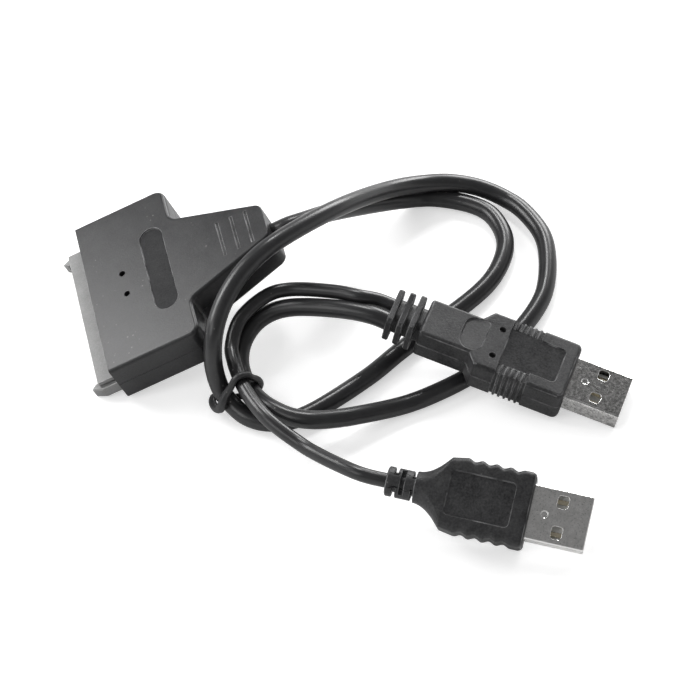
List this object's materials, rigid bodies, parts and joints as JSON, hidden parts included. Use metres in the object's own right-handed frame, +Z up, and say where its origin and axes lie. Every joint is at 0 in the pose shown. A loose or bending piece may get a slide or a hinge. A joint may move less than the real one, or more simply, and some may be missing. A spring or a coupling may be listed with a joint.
{
  "type": "usb to sata adapter",
  "caption": "Flat drive-connector head on a looped lead that ends in a ribbed data plug and a bottle-shaped power plug, bundled by a wire tie.",
  "frame": {"origin": "on the table, under the middle of the head's box, as the head lies with its front bottom edge down and its neck held up by the lead", "axes": "+X from the head's connector towards its neck, level; +Y across the head, towards the connector's data end; +Z up from the table"},
  "size_m": [0.1152, 0.1123, 0.0282],
  "materials": {
    "housing_plastic": "fine spark-eroded texture, semi-matte",
    "connector_plastic": "smooth moulded grey",
    "grip_plastic": "fine texture, soft vinyl",
    "cable_jacket": "satin vinyl jacket",
    "tie_jacket": "satin vinyl over wire",
    "nickel": "bright nickel plate",
    "gold": "gold flash on spring strip",
    "tongue_plastic": "smooth moulded",
    "board_resin": "solder mask",
    "chip_resin": "moulded resin",
    "lamp_lens": "clear resin",
    "core_1_jacket": "smooth vinyl",
    "core_2_jacket": "smooth vinyl",
    "core_3_jacket": "smooth vinyl",
    "core_4_jacket": "smooth vinyl"
  },
  "bodies": {
    "root": {"housing_top_shell": "housing_plastic", "housing_bottom_shell": "housing_plastic", "drive_connector_insulator": "connector_plastic", "data_contact_1": "gold", "data_contact_2": "gold", "data_contact_3": "gold", "data_contact_4": "gold", "data_contact_5": "gold", "data_contact_6": "gold", "data_contact_7": "gold", "power_contact_1": "gold", "power_contact_2": "gold", "power_contact_3": "gold", "power_contact_4": "gold", "power_contact_5": "gold", "power_contact_6": "gold", "power_contact_7": "gold", "power_contact_8": "gold", "power_contact_9": "gold", "power_contact_10": "gold", "power_contact_11": "gold", "power_contact_12": "gold", "power_contact_13": "gold", "power_contact_14": "gold", "power_contact_15": "gold", "circuit_board": "board_resin", "bridge_chip": "chip_resin", "crystal_can": "nickel", "lamp_1": "lamp_lens", "lamp_2": "lamp_lens", "cable_core_1": "core_1_jacket", "cable_core_2": "core_2_jacket", "cable_core_3": "core_3_jacket", "cable_core_4": "core_4_jacket", "data_plug_grip": "grip_plastic", "data_plug_shell": "nickel", "data_plug_insulator": "tongue_plastic", "data_plug_contact_1": "gold", "data_plug_contact_2": "gold", "data_plug_contact_3": "gold", "data_plug_contact_4": "gold", "power_plug_grip": "grip_plastic", "power_plug_shell": "nickel", "power_plug_insulator": "tongue_plastic", "power_plug_contact_1": "gold", "power_plug_contact_2": "gold", "power_plug_contact_3": "gold", "power_plug_contact_4": "gold", "data_cable": "cable_jacket", "power_cable": "cable_jacket", "cable_tie": "tie_jacket"}
  },
  "joints": []
}
